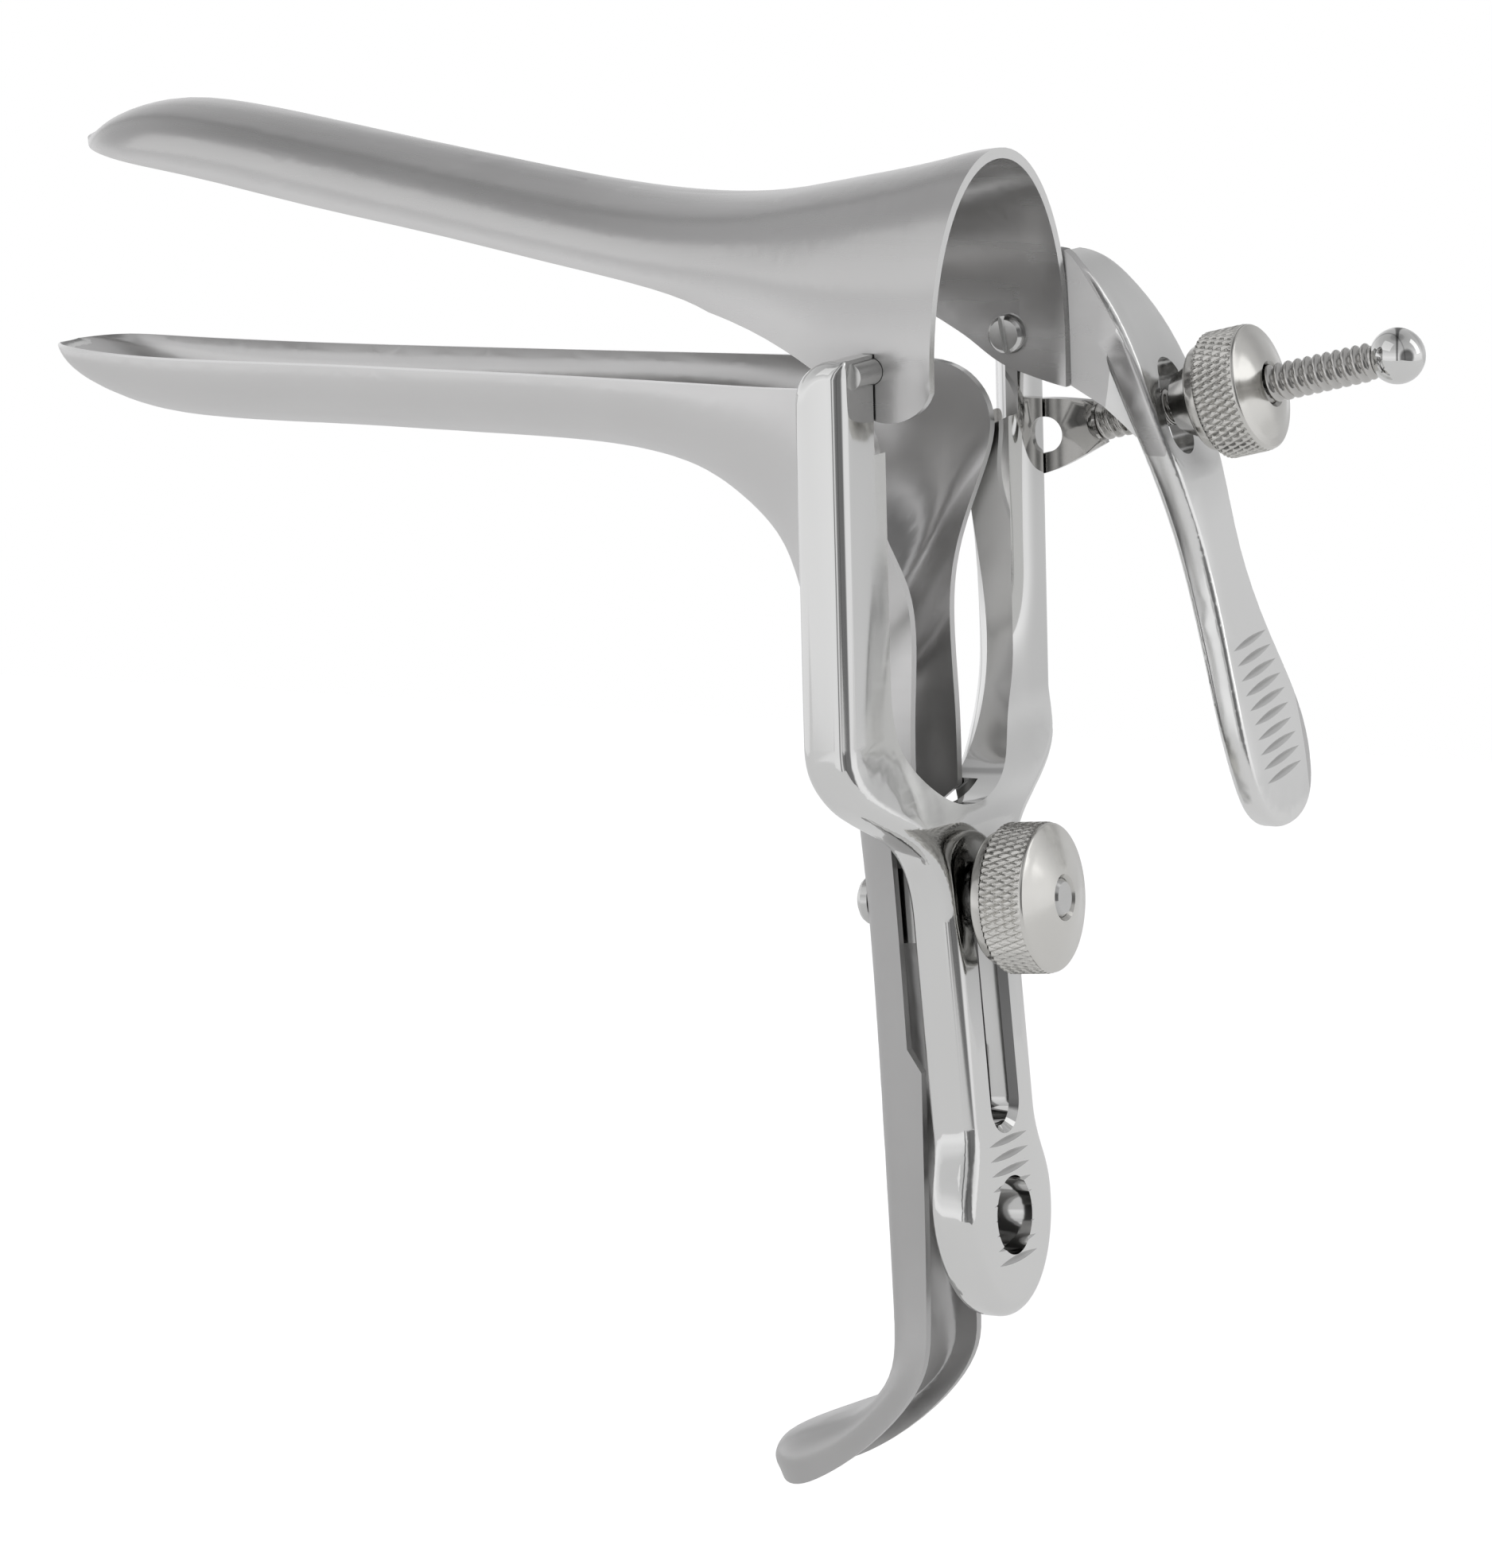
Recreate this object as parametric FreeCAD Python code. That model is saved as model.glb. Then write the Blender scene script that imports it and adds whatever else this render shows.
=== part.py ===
import FreeCAD, Part
import math
import os

Vector = FreeCAD.Vector

doc = FreeCAD.newDocument("bivalve_speculum")
sheet = doc.addObject("Spreadsheet::Sheet", "sizes")

# Frame: the origin is midway between the two pivots, on their axis.
# X points to the operator (the blades reach towards -X), Y across, Z up. Millimetres and degrees.
sizes = {
    # fork
    "prong_inner": 16.55, "prong_outer": 27.8, "prong_depth": 6.55, "prong_front": -6.1, "prong_top": 2.0,
    "shoulder_level": -9.7, "recess_inner": 19.35, "prong_top_round": 5.0, "crotch_centre": -37.0,
    "fork_bend_start": -43.0, "fork_bend_end": -55.0, "fork_shoulder_start": -45.0, "fork_shoulder_round": 8.0,
    "fork_shoulder_end": -63.0, "neck_round": 3.5, "nest_width": 6.4, "nest_depth": 3.1,
    "eye_seat_depth": 1.13, "eye_seat_level": -21.0, "eye_seat_foot": -25.0, "eye_seat_bevel": 4.5,
    "tongue_rear": -1.15, "tongue_slope": 0.46, "tongue_reach": 7.6,
    # handle
    "handle_half": 9.0, "handle_depth": 6.1, "handle_wall": 3.2, "handle_rear": 4.2, "handle_tilt": 4.26,
    "stud_level": -65.0, "hollow_half": 7.0, "hollow_top": 13.8, "hollow_bottom": 30.2,
    "slot_width": 5.9, "slot_above": 4.3, "slot_below": 27.4, "slot_bevel": 0.9,
    "paddle_half": 11.7, "paddle_start": 26.2, "paddle_centre": 37.2, "paddle_end": 50.6, "paddle_depth": 5.2,
    "paddle_hole_radius": 4.75, "paddle_hole_level": 38.3, "seat_radius": 7.8, "seat_depth": 0.8,
    "outer_round": 2.0, "edge_round": 1.2,
    # grooves of both finger rests
    "groove_pitch": 1.8, "groove_depth": 0.45, "groove_width": 1.0, "cutter_radius": 30.0,
    "paddle_groove_first": 29.1, "paddle_groove_count": 9,
    "lever_groove_first": -37.8, "lever_groove_count": 10,
    # sheet of the blades
    "blade_wall": 1.25, "tip_hollow": 0.12, "nail_hollow": 0.6,
    # pivots
    "opening_angle": 13.3, "pivot_radius": 1.6, "pivot_head_radius": 2.35, "pivot_head_height": 1.1,
    "pivot_depth": 5.4, "running_gap": 0.05, "side_gap": 0.3,
    # thumb lever
    "lever_depth": 4.5, "lever_end_depth": 2.9, "lever_lean": 0.116, "lever_lean_from": -8.0, "lever_middle": 27.8,
    "lever_slot_width": 5.8, "lever_slot_length": 12.0, "lever_seat_radius": 6.3, "lever_seat_depth": 0.9,
    # adjusting screw
    "rod_angle": 13.4, "anchor_x": -4.4, "anchor_z": -14.36, "rod_radius": 2.3, "rod_length": 49.0,
    "thread_start": 12.2, "eye_thickness": 1.7, "eye_half": 4.55, "eye_front": 5.8, "eye_neck_half": 2.6,
    "eye_slot_front": 0.0, "eye_slot_rear": 5.0, "anchor_radius": 2.1, "anchor_head_radius": 3.4,
    "anchor_head_height": 1.1, "anchor_depth": 5.5, "ball_radius": 3.35, "ball_step": 2.8, "ball_neck_radius": 1.5,
    # knurled nut on the adjusting screw
    "rod_nut_front": 22.9, "rod_nut_collar": 26.4, "rod_nut_knurl": 28.1, "rod_nut_rear": 33.9,
    "rod_nut_radius": 7.7, "rod_nut_collar_radius": 6.4, "rod_nut_hub_radius": 5.2, "rod_nut_tip_radius": 3.4,
    "nut_edge_round": 0.7, "nut_crown": 1.4, "bore_chamfer": 0.45,
    # stud, block and knurled nut of the slide
    "slide_nut_radius": 9.0, "slide_nut_collar_radius": 7.9, "slide_nut_hub_radius": 6.6, "slide_nut_tip_radius": 4.4,
    "slide_nut_front": 0.1, "slide_nut_collar": 1.5, "slide_nut_knurl": 3.1, "slide_nut_rear": 8.9,
    "stud_radius": 2.3, "stud_head_radius": 2.9, "stud_head_height": 1.1, "block_half": 4.5, "block_height": 9.0,
    # relief in the flanges of the stem
    "relief_slope": 1.4, "lever_root_wall": 1.5, "lever_root_lean": 3.0, "lever_round": 0.9, "rod_seat": 22.7, "ball_flat": 2.4,
    "relief_top": -54.0, "relief_bottom": -84.0, "relief_front_top": -5.2, "relief_front_bottom": -3.6,
}

# Stations of the upper blade, closed: crown x and z, rim x and z, half width, length of straight wall, fullness.
upper_stations = {
    "tip": (-117.3, -3.3, -117.5, -3.9, 2.2, 0.1, 2.0),
    "nail": (-115.6, -1.7, -116.0, -4.1, 4.4, 0.2, 2.0),
    "nose": (-113.2, 0.4, -113.3, -3.9, 7.8, 0.3, 2.0),
    "lip": (-108.4, 3.0, -108.6, -3.6, 10.3, 0.4, 2.0),
    "belly": (-99.0, 5.0, -99.0, -2.9, 11.0, 0.5, 2.1),
    "front": (-82.0, 6.25, -82.0, -2.15, 11.1, 0.5, 2.1),
    "middle": (-62.0, 7.5, -62.0, -0.8, 12.0, 0.5, 2.1),
    "waist": (-46.0, 8.8, -46.0, 0.1, 13.1, 0.6, 2.1),
    "neck": (-33.0, 10.9, -32.5, 0.9, 14.5, 0.8, 2.1),
    "flare": (-24.5, 13.3, -22.5, 0.35, 16.0, 1.5, 2.2),
    "throat": (-16.7, 16.6, -13.2, -3.2, 17.7, 4.5, 2.15),
    "ear": (-8.9, 20.1, -4.4, -7.0, 19.05, 7.5, 2.15),
    "hood": (-3.4, 22.8, 3.0, -7.0, 19.05, 8.0, 2.1),
    "mouth": (1.9, 25.2, 9.4, -7.0, 19.05, 8.0, 2.05),
}

# Stations of the lower blade, its stem and its hook, in the same words.
lower_stations = {
    "tip": (-120.2, -3.1, -120.5, -2.3, 2.2, 0.1, 2.0),
    "nail": (-118.4, -4.3, -119.3, -2.3, 4.6, 0.2, 2.0),
    "nose": (-115.8, -6.4, -116.4, -2.4, 7.9, 0.3, 2.0),
    "lip": (-110.5, -8.9, -111.0, -2.6, 9.8, 0.4, 2.0),
    "belly": (-98.0, -10.9, -98.0, -2.9, 10.9, 0.5, 2.1),
    "front": (-80.0, -11.2, -80.0, -2.9, 10.9, 0.5, 2.1),
    "middle": (-62.0, -11.5, -62.0, -2.9, 11.9, 0.5, 2.1),
    "waist": (-45.9, -11.9, -46.0, -2.9, 13.0, 0.6, 2.1),
    "neck": (-36.1, -12.9, -34.0, -2.9, 14.2, 0.8, 2.1),
    "flare": (-28.8, -15.0, -23.5, -2.9, 15.3, 1.5, 2.1),
    "throat": (-23.0, -18.9, -13.0, -2.9, 16.1, 3.0, 2.1),
    "wing": (-18.9, -23.7, -5.0, -4.0, 16.05, 6.0, 2.1),
    "shoulder": (-16.7, -28.9, -1.2, -9.2, 16.05, 8.0, 2.1),
    "flank": (-15.2, -34.0, -2.0, -16.0, 14.9, 8.0, 2.1),
    "taper": (-14.1, -39.2, -2.6, -22.2, 10.6, 7.0, 2.1),
    "root": (-13.0, -44.5, -2.2, -28.5, 6.55, 5.0, 2.1),
    "stem_top": (-11.9, -52.0, -2.0, -42.0, 6.55, 4.2, 2.1),
    "stem_high": (-10.9, -62.0, -1.9, -58.0, 6.55, 3.8, 2.1),
    "stem_low": (-8.9, -92.0, -1.7, -92.0, 6.55, 3.4, 2.1),
    "heel": (-7.6, -116.0, -1.4, -116.0, 7.4, 3.0, 2.1),
    "bend_start": (-7.5, -121.0, -1.9, -121.5, 7.9, 3.0, 2.1),
    "bend": (-9.4, -125.4, -6.0, -128.0, 8.1, 3.0, 2.1),
    "bend_end": (-13.4, -127.7, -11.9, -133.2, 8.0, 3.0, 2.1),
    "lip_middle": (-18.6, -129.8, -16.8, -136.2, 7.6, 2.6, 2.1),
    "lip_end": (-22.6, -131.7, -20.4, -137.4, 6.2, 2.2, 2.0),
    "hook_tip": (-24.8, -133.9, -23.2, -136.9, 3.6, 1.2, 2.0),
}

# Stations of the thumb lever: level, rear face, left of the middle line, right of the middle line.
lever_stations = {
    "brow": (9.8, 6.4, 8.2, -3.0),
    "head": (8.5, 8.5, 8.1, 0.2),
    "crest": (5.5, 10.8, 7.4, 3.0),
    "shoulder": (0.5, 13.6, 6.8, 5.7),
    "saddle": (-6.5, 16.9, 7.4, 6.9),
    "grip_top": (-15.0, 19.9, 7.5, 6.2),
    "waist": (-27.0, 22.4, 5.8, 5.2),
    "swell": (-38.0, 25.0, 7.2, 6.6),
    "rest": (-48.0, 27.4, 9.2, 9.0),
    "toe": (-54.5, 28.4, 8.7, 8.6),
}
lever_tip_level = -60.6
lever_tip_rear = 28.8

station_words = ("crown_x", "crown_z", "rim_x", "rim_z", "half", "straight", "fullness")
lever_words = ("level", "rear", "left", "right")
for blade, stations in (("upper", upper_stations), ("lower", lower_stations)):
    for station, numbers in stations.items():
        for word, number in zip(station_words, numbers):
            sizes[f"{blade}_{station}_{word}"] = number
for station, numbers in lever_stations.items():
    for word, number in zip(lever_words, numbers):
        sizes[f"lever_{station}_{word}"] = number
sizes["lever_tip_level"] = lever_tip_level
sizes["lever_tip_rear"] = lever_tip_rear

for row, (alias, number) in enumerate(sizes.items(), start=1):
    sheet.set(f"A{row}", alias.replace("_", " "))
    sheet.set(f"B{row}", str(number))
    sheet.setAlias(f"B{row}", alias)
doc.recompute()


def size(alias):
    return float(sheet.get(alias))


def feature(label, shape):
    """A piece whose shape is set from the sheet's values."""
    piece = doc.addObject("Part::Feature", label)
    piece.Label = label
    piece.Shape = shape
    return piece


def solid_of(shape):
    """The one solid of a boolean result."""
    assert len(shape.Solids) == 1, f"{len(shape.Solids)} solids"
    return shape.Solids[0]


# Blades: shells lofted through U-shaped sections.
fine_steps = 96
curve_points = 17
thinnest_share = 0.3
join_tolerance = 0.001


def section_outline(half, depth, straight, fullness):
    """The U in its own plane, from rim to rim: straight wall, arch over the crown, straight wall."""
    outline = [(half, 0.0)]
    for step in range(fine_steps + 1):
        angle = math.pi * step / fine_steps
        across = abs(math.cos(angle)) ** (2 / fullness) * math.copysign(half, math.cos(angle))
        rise = abs(math.sin(angle)) ** (2 / fullness) * (depth - straight)
        outline.append((across, straight + rise))
    outline.append((-half, 0.0))
    return outline


def spaced(outline, count):
    """Points at equal steps of length along an outline."""
    lengths = [0.0]
    for (across, rise), (next_across, next_rise) in zip(outline, outline[1:]):
        lengths.append(lengths[-1] + math.hypot(next_across - across, next_rise - rise))
    points = []
    place = 0
    for step in range(count):
        target = lengths[-1] * step / (count - 1)
        while place < len(outline) - 2 and lengths[place + 1] < target:
            place += 1
        share = (target - lengths[place]) / max(lengths[place + 1] - lengths[place], 1e-9)
        points.append(tuple(a + (b - a) * share for a, b in zip(outline[place], outline[place + 1])))
    return points


def inward(points, wall):
    """The same points moved inward by the wall, square to the outline."""
    moved = []
    for place, (across, rise) in enumerate(points):
        before = points[max(place - 1, 0)]
        after = points[min(place + 1, len(points) - 1)]
        run, lift = after[0] - before[0], after[1] - before[1]
        length = math.hypot(run, lift)
        moved.append((across - wall * lift / length, rise + wall * run / length))
    return moved


def section_wire(blade, station, wall, hollow):
    crown = Vector(size(f"{blade}_{station}_crown_x"), 0, size(f"{blade}_{station}_crown_z"))
    rim = Vector(size(f"{blade}_{station}_rim_x"), 0, size(f"{blade}_{station}_rim_z"))
    half, straight, fullness = (size(f"{blade}_{station}_{word}") for word in station_words[4:])
    depth = (crown - rim).Length
    upward = (crown - rim).normalize()
    outer = spaced(section_outline(half, depth, straight, fullness), curve_points)
    inner = inward(outer, min(wall, thinnest_share * half, thinnest_share * depth))
    inner = [(across, rise * hollow) for across, rise in inner]
    skins = []
    for outline in (outer, inner):
        points = [rim + upward * rise + Vector(0, across, 0) for across, rise in outline]
        curve = Part.BSplineCurve()
        curve.interpolate(Points=points, Parameters=[float(place) for place in range(curve_points)])
        skins.append(curve.toShape())
    outer_edge, inner_edge = skins
    start = Part.makeLine(outer_edge.Vertexes[0].Point, inner_edge.Vertexes[0].Point)
    finish = Part.makeLine(inner_edge.Vertexes[-1].Point, outer_edge.Vertexes[-1].Point)
    return Part.Wire([outer_edge, finish, inner_edge, start])


def blade_shell(blade, stations):
    """The blade's sheet; its first two sections are nearly filled, so the tip has no notch."""
    hollows = {"tip": size("tip_hollow"), "nail": size("nail_hollow")}
    wires = [section_wire(blade, station, size("blade_wall"), hollows.get(station, 1.0)) for station in stations]
    return Part.makeLoft(wires, True, False)


def line(start, end):
    return Part.makeLine(Vector(*start), Vector(*end))


def arc(start, middle, end):
    return Part.Arc(Vector(*start), Vector(*middle), Vector(*end)).toShape()


def spline(points, start_direction=None, end_direction=None):
    curve = Part.BSplineCurve()
    if start_direction:
        curve.interpolate(Points=[Vector(*point) for point in points], InitialTangent=Vector(*start_direction),
                          FinalTangent=Vector(*end_direction))
    else:
        curve.interpolate([Vector(*point) for point in points])
    return curve.toShape()


def face_of(edges):
    return Part.Face(Part.Wire(Part.__sortEdges__(edges)))


def profile_xz(points, half_width, middle=0.0):
    """A flat outline in the XZ plane, extruded across Y."""
    wire = Part.makePolygon([Vector(x, middle - half_width, z) for x, z in points + points[:1]])
    return Part.Face(wire).extrude(Vector(0, 2 * half_width, 0))


def cylinder(start, direction, radius, length):
    return Part.makeCylinder(radius, length, start, direction)


def turned(outline, start, direction):
    """A turned solid: outline is (distance along the axis, radius) from start, closed along the axis."""
    points = [Vector(radius, 0, along) for along, radius in outline]
    points = [Vector(0, 0, outline[0][0])] + points + [Vector(0, 0, outline[-1][0])]
    profile = Part.Face(Part.makePolygon(points + points[:1]))
    solid = profile.revolve(Vector(0, 0, 0), Vector(0, 0, 1), 360)
    solid = Part.Solid(Part.Shell(solid.Faces)) if not solid.Solids else solid.Solids[0]
    solid.Placement = FreeCAD.Placement(start, FreeCAD.Rotation(Vector(0, 0, 1), direction))
    return solid


def edges_where(shape, test):
    return [edge for edge in shape.Edges if test(edge)]


# Yoke: a fork whose bar bends back into a channel-shaped handle with a slot and a finger rest.
tilt = math.radians(size("handle_tilt"))
handle_down = Vector(math.sin(tilt), 0, -math.cos(tilt))
handle_out = Vector(math.cos(tilt), 0, math.sin(tilt))
stud_point = Vector(size("handle_rear"), 0, size("stud_level"))


def on_handle(below, out=0.0, across=0.0):
    """A point of the handle: distance below the stud, outward from the rear face, and across."""
    return stud_point + handle_down * below + handle_out * out + Vector(0, across, 0)


def handle_level(below):
    return on_handle(below).z


def fork_side_profile():
    """Side view of the whole bar, in the XZ plane, extruded across."""
    reach = size("prong_outer") + 1
    front, depth, top = size("prong_front"), size("prong_depth"), size("prong_top")
    rear = front + depth
    bend_start, bend_end = size("fork_bend_start"), size("fork_bend_end")
    along = (size("stud_level") - bend_end) / math.cos(tilt)
    rear_bend = on_handle(along)
    front_bend = on_handle(along, -size("handle_depth"))
    foot = size("paddle_end") + 1
    rear_foot = on_handle(foot)
    front_foot = on_handle(foot, -size("paddle_depth"))
    front_swell = on_handle(size("paddle_start"), -size("handle_depth"))
    down = (0, 0, -1)
    along_handle = tuple(handle_down)
    round_front = size("prong_top_round")
    edges = [
        line((rear, -reach, top), (rear, -reach, bend_start)),
        spline([(rear, -reach, bend_start), (rear_bend.x, -reach, rear_bend.z)], down, along_handle),
        line((rear_bend.x, -reach, rear_bend.z), (rear_foot.x, -reach, rear_foot.z)),
        line((rear_foot.x, -reach, rear_foot.z), (front_foot.x, -reach, front_foot.z)),
        line((front_foot.x, -reach, front_foot.z), (front_swell.x, -reach, front_swell.z)),
        line((front_swell.x, -reach, front_swell.z), (front_bend.x, -reach, front_bend.z)),
        spline([(front, -reach, bend_start), (front_bend.x, -reach, front_bend.z)], down, along_handle),
        line((front, -reach, bend_start), (front, -reach, top - round_front)),
        arc((front, -reach, top - round_front),
            (front + round_front * (1 - math.cos(math.pi / 4)), -reach, top - round_front * (1 - math.sin(math.pi / 4))),
            (front + round_front, -reach, top)),
        line((front + round_front, -reach, top), (rear, -reach, top)),
    ]
    return face_of(edges).extrude(Vector(0, 2 * reach, 0))


def fork_front_outline():
    """Front view of the yoke, in the YZ plane, extruded along X."""
    start = -40.0
    length = 80.0
    outer, inner, recess = size("prong_outer"), size("prong_inner"), size("recess_inner")
    top, shoulder, centre = size("prong_top"), size("shoulder_level"), size("crotch_centre")
    handle, paddle = size("handle_half"), size("paddle_half")
    round_radius = size("fork_shoulder_round")
    round_level = size("fork_shoulder_start")
    neck_level = size("fork_shoulder_end")
    neck = size("neck_round")
    slope_point = (outer - round_radius * (1 - math.cos(math.radians(55))), round_level - round_radius * math.sin(math.radians(55)))
    slope = (-math.cos(math.radians(35)), -math.sin(math.radians(35)))
    paddle_top = handle_level(size("paddle_start"))
    paddle_middle = handle_level(size("paddle_centre"))
    paddle_foot = handle_level(size("paddle_end"))
    edges = []
    for side in (1, -1):
        def at(across, level):
            return (start, side * across, level)
        edges += [
            line(at(recess, top), at(outer, top)),
            line(at(outer, top), at(outer, round_level)),
            arc(at(outer, round_level),
                at(outer - round_radius * (1 - math.cos(math.radians(27.5))),
                   round_level - round_radius * math.sin(math.radians(27.5))),
                at(*slope_point)),
            spline([at(*slope_point), at(handle, neck_level - neck)], (0, side * slope[0], slope[1]), (0, 0, -1)),
            line(at(handle, neck_level - neck), at(handle, paddle_top)),
            spline([at(handle, paddle_top), at(paddle, paddle_middle)], (0, 0, -1), (0, 0, -1)),
            line(at(recess, top), at(recess, shoulder)),
            line(at(recess, shoulder), at(inner, shoulder)),
            line(at(inner, shoulder), at(inner, centre)),
        ]
    end_arc = Part.Ellipse(Vector(start, 0, paddle_foot), Vector(start, paddle, paddle_middle), Vector(start, 0, paddle_middle))
    below = [edge for edge in [Part.ArcOfEllipse(end_arc, first, first + math.pi).toShape()
                               for first in (math.pi / 2, -math.pi / 2)]
             if edge.BoundBox.Center.z < paddle_middle]
    edges += below[:1]
    edges.append(arc((start, inner, centre), (start, 0, centre - inner), (start, -inner, centre)))
    return face_of(edges).extrude(Vector(length, 0, 0))


def handle_pocket():
    """The hollow front of the handle, open to the fork and to the front."""
    wall = size("handle_wall")
    far = wall + 30
    half = size("hollow_half")
    block = Part.makeBox(far - wall, 2 * half, size("hollow_top") + size("hollow_bottom"))
    block = block.makeFillet(half * 0.55, edges_where(block, lambda edge: abs(edge.BoundBox.ZMin) < 0.1
                             and edge.BoundBox.XLength > 1 and edge.BoundBox.YLength < 0.1))
    block.Placement = FreeCAD.Placement(on_handle(size("hollow_bottom"), -far, -half),
                                        FreeCAD.Rotation(Vector(0, 1, 0), -size("handle_tilt")))
    return block


def slot_cutter():
    """The slot of the handle with a bevelled rear edge."""
    half = size("slot_width") / 2
    top, foot = -size("slot_above") + half, size("slot_below") - half
    bevel = size("slot_bevel")
    pieces = []
    for below in (top, foot):
        pieces.append(cylinder(on_handle(below, -20), handle_out, half, 40))
        pieces.append(Part.makeCone(half, half + 2 * bevel, 2 * bevel, on_handle(below, -bevel), handle_out))
    box = Part.makeBox(40, 2 * half, foot - top)
    box.Placement = FreeCAD.Placement(on_handle(foot, -20, -half), FreeCAD.Rotation(Vector(0, 1, 0), -size("handle_tilt")))
    wedge = Part.Face(Part.makePolygon([Vector(-bevel, half, 0), Vector(bevel, half + 2 * bevel, 0),
                                        Vector(bevel, -half - 2 * bevel, 0), Vector(-bevel, -half, 0),
                                        Vector(-bevel, half, 0)])).extrude(Vector(0, 0, foot - top))
    wedge.Placement = FreeCAD.Placement(on_handle(foot), FreeCAD.Rotation(Vector(0, 1, 0), -size("handle_tilt")))
    return pieces + [box, wedge]


def groove_cutter(point, along, outward):
    """A thin milling disc that bites a lens-shaped groove at a point of a finger rest."""
    radius, half = size("cutter_radius"), size("groove_width") / 2
    rim = radius - half
    centre = point + outward * (radius - size("groove_depth"))
    return turned([(-half, rim), (0, radius), (half, rim)], centre, along)


def dish(point, outward, radius, depth):
    """A shallow spherical seat."""
    ball = (radius * radius + depth * depth) / (2 * depth)
    return Part.makeSphere(ball, point + outward * (ball - depth))


def nest_cutter():
    """Rounds the front inner edges of the fork, where the back of the stem nests."""
    front, inner, centre = size("prong_front"), size("prong_inner"), size("crotch_centre")
    width, depth = size("nest_width"), size("nest_depth")
    levels = {size("shoulder_level") + 1: 0.2, -19.0: 0.35, -34.0: 0.98, centre: 1.0}

    def section(level, share, side=1):
        curve = spline([(front, side * (inner + width), level),
                        (front + 0.12 * depth * share, side * (inner + 0.62 * width), level),
                        (front + 0.48 * depth * share, side * (inner + 0.26 * width), level),
                        (front + depth * share, side * inner, level)])
        corners = [(front + depth * share, inner), (front + depth * share, inner - 2), (front - 2, inner - 2),
                   (front - 2, inner + width), (front, inner + width)]
        sides = [line((x1, side * y1, level), (x2, side * y2, level)) for (x1, y1), (x2, y2) in zip(corners, corners[1:])]
        return Part.Wire([curve] + sides)

    cutters = [Part.makeLoft([section(level, share, side) for level, share in levels.items()], True, False)
               for side in (1, -1)]
    crotch = Part.Face(section(centre, 1.0)).revolve(Vector(0, 0, centre), Vector(1, 0, 0), -180)
    return cutters + [crotch]


def tongue_cutter(side):
    """Clears the ear's path: above its shoulder a prong is a tongue with a slanting inner face."""
    rear = size("prong_front") + size("prong_depth")
    shoulder, slope = size("shoulder_level"), size("tongue_slope")
    inner, recess = size("prong_inner") - 1, size("recess_inner")
    behind, ahead = rear + 1, size("prong_front") - 1
    end = recess + size("tongue_reach") * (size("tongue_rear") - ahead) / (size("tongue_rear") - size("prong_front"))
    plan = [(behind, inner), (behind, recess), (size("tongue_rear"), recess), (ahead, end), (ahead, inner)]
    low = shoulder - 8
    prism = Part.Face(Part.makePolygon([Vector(x, side * y, low) for x, y in plan + plan[:1]]))
    prism = prism.extrude(Vector(0, 0, size("prong_top") + 1 - low))
    above = profile_xz([(behind, shoulder + slope), (ahead, shoulder - slope * (rear - ahead)),
                        (ahead, size("prong_top") + 2), (behind, size("prong_top") + 2)], 2 * size("prong_outer"))
    return prism.common(above)


def eye_seat_cutter():
    """The flat on the far prong's outer side, where the screw's eye swings."""
    seat, outer, top = eye_seat, size("prong_outer") + 1, size("prong_top") + 1
    reach = 20.0
    bevel = size("eye_seat_bevel")
    outline = [(seat - 0.55 * bevel, top), (outer, top), (outer, size("eye_seat_foot")), (seat, size("eye_seat_level")),
               (seat, top - bevel)]
    face = Part.Face(Part.makePolygon([Vector(-reach, y, z) for y, z in outline + outline[:1]]))
    return face.extrude(Vector(2 * reach, 0, 0))


def is_fork_inside(point):
    """True on the inner edges of the fork, which stay sharp."""
    inner, centre = size("prong_inner"), size("crotch_centre")
    if point.z > centre:
        return abs(point.y) < size("recess_inner") + 0.5
    return abs(math.hypot(point.y, point.z - centre) - inner) < 0.5


def edge_middle(edge):
    return edge.valueAt((edge.FirstParameter + edge.LastParameter) / 2)


def is_long(edge):
    return edge.Length > 3


across = Vector(0, 1, 0)
pivot_hole_radius = size("pivot_radius") + size("running_gap")
recess_inner = size("recess_inner")
anchor_point = Vector(size("anchor_x"), 0, size("anchor_z"))
rod_tilt = math.radians(size("rod_angle"))
rod_out = Vector(math.cos(rod_tilt), 0, math.sin(rod_tilt))
eye_seat = size("prong_outer") - size("eye_seat_depth")
eye_inner = eye_seat + size("side_gap")
rod_axis_y = eye_inner + size("eye_thickness") / 2


def on_rod(along):
    """A point of the adjusting screw's axis, counted from its anchor."""
    return anchor_point + rod_out * along + across * rod_axis_y


def make_yoke():
    yoke = solid_of(fork_side_profile().common(fork_front_outline()))
    outline = [edge for edge in yoke.Edges if is_long(edge) and not is_fork_inside(edge_middle(edge))
               and edge_middle(edge).z < size("prong_top") - 1 and edge.BoundBox.ZLength > 1]
    yoke = yoke.makeFillet(size("outer_round"), outline)
    hole_level = size("paddle_hole_level")
    hole = cylinder(on_handle(hole_level, -20), handle_out, size("paddle_hole_radius"), 40)
    cutters = [handle_pocket(), hole, dish(on_handle(0), handle_out, size("seat_radius"), size("seat_depth"))]
    cutters += slot_cutter()
    cutters += nest_cutter()
    cutters += [tongue_cutter(1), tongue_cutter(-1), eye_seat_cutter()]
    for place in range(int(size("paddle_groove_count"))):
        below = size("paddle_groove_first") + place * size("groove_pitch")
        cutters.append(groove_cutter(on_handle(below), handle_down, handle_out))
    for side in (1, -1):
        start = Vector(0, side * (recess_inner - 1), 0)
        cutters.append(cylinder(start, across * side, size("pivot_radius"), size("pivot_depth") + 1))
    anchor = anchor_point + across * (eye_seat - size("anchor_depth"))
    cutters.append(cylinder(anchor, across, size("anchor_radius"), size("anchor_depth") + 1))
    return solid_of(yoke.cut(cutters))


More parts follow.
